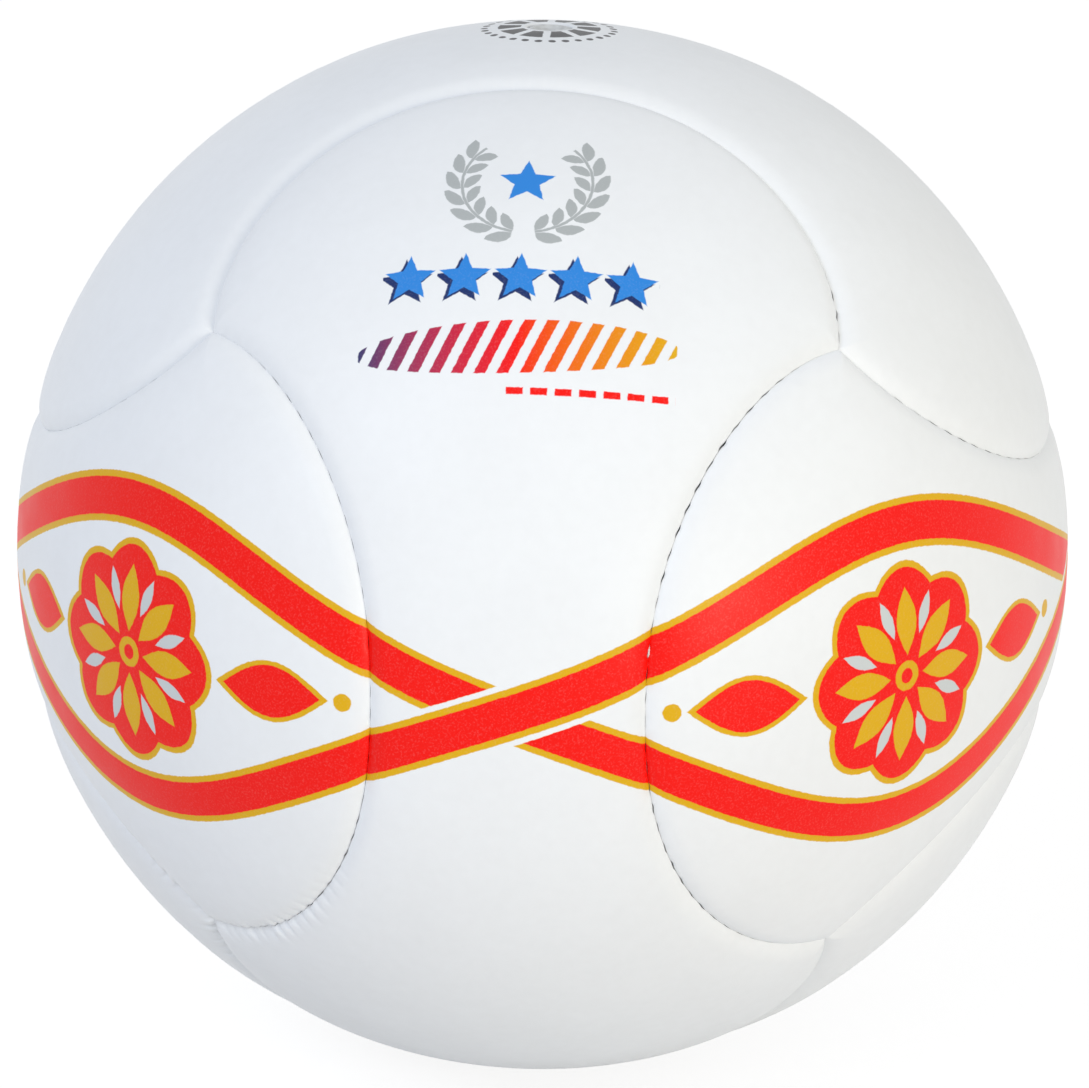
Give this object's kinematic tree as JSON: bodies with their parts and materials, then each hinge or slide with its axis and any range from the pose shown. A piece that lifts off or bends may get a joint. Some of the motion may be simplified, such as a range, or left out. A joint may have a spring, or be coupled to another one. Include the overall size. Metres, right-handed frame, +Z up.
{
  "type": "fistball",
  "caption": "Hand-stitched leather fistball: waisted interlocking panels over cloth linings, with turned-in seams, an air bladder and a flush needle valve.",
  "frame": {"origin": "centre of the ball", "axes": "+Z up through the middle of the panel that holds the valve, -Y towards the front panel, +X to the right of it"},
  "size_m": [0.212, 0.212, 0.212],
  "materials": {
    "leather": "satin white coated leather",
    "lining": "unbleached woven cloth",
    "thread": "waxed white thread",
    "latex": "natural latex",
    "valve_rubber": "matt white rubber",
    "core_rubber": "matt grey rubber"
  },
  "bodies": {
    "root": {"panel_front": "leather", "panel_back": "leather", "panel_left": "leather", "panel_right": "leather", "panel_top": "leather", "panel_bottom": "leather", "lining_front": "lining", "lining_back": "lining", "lining_left": "lining", "lining_right": "lining", "lining_top": "lining", "lining_bottom": "lining", "thread_front_left": "thread", "thread_front_right": "thread", "thread_back_left": "thread", "thread_back_right": "thread", "thread_left_top": "thread", "thread_left_bottom": "thread", "thread_right_top": "thread", "thread_right_bottom": "thread", "thread_top_front": "thread", "thread_top_back": "thread", "thread_bottom_front": "thread", "thread_bottom_back": "thread", "bladder": "latex", "valve_body": "valve_rubber", "valve_core": "core_rubber", "valve_patch": "lining"}
  },
  "joints": []
}
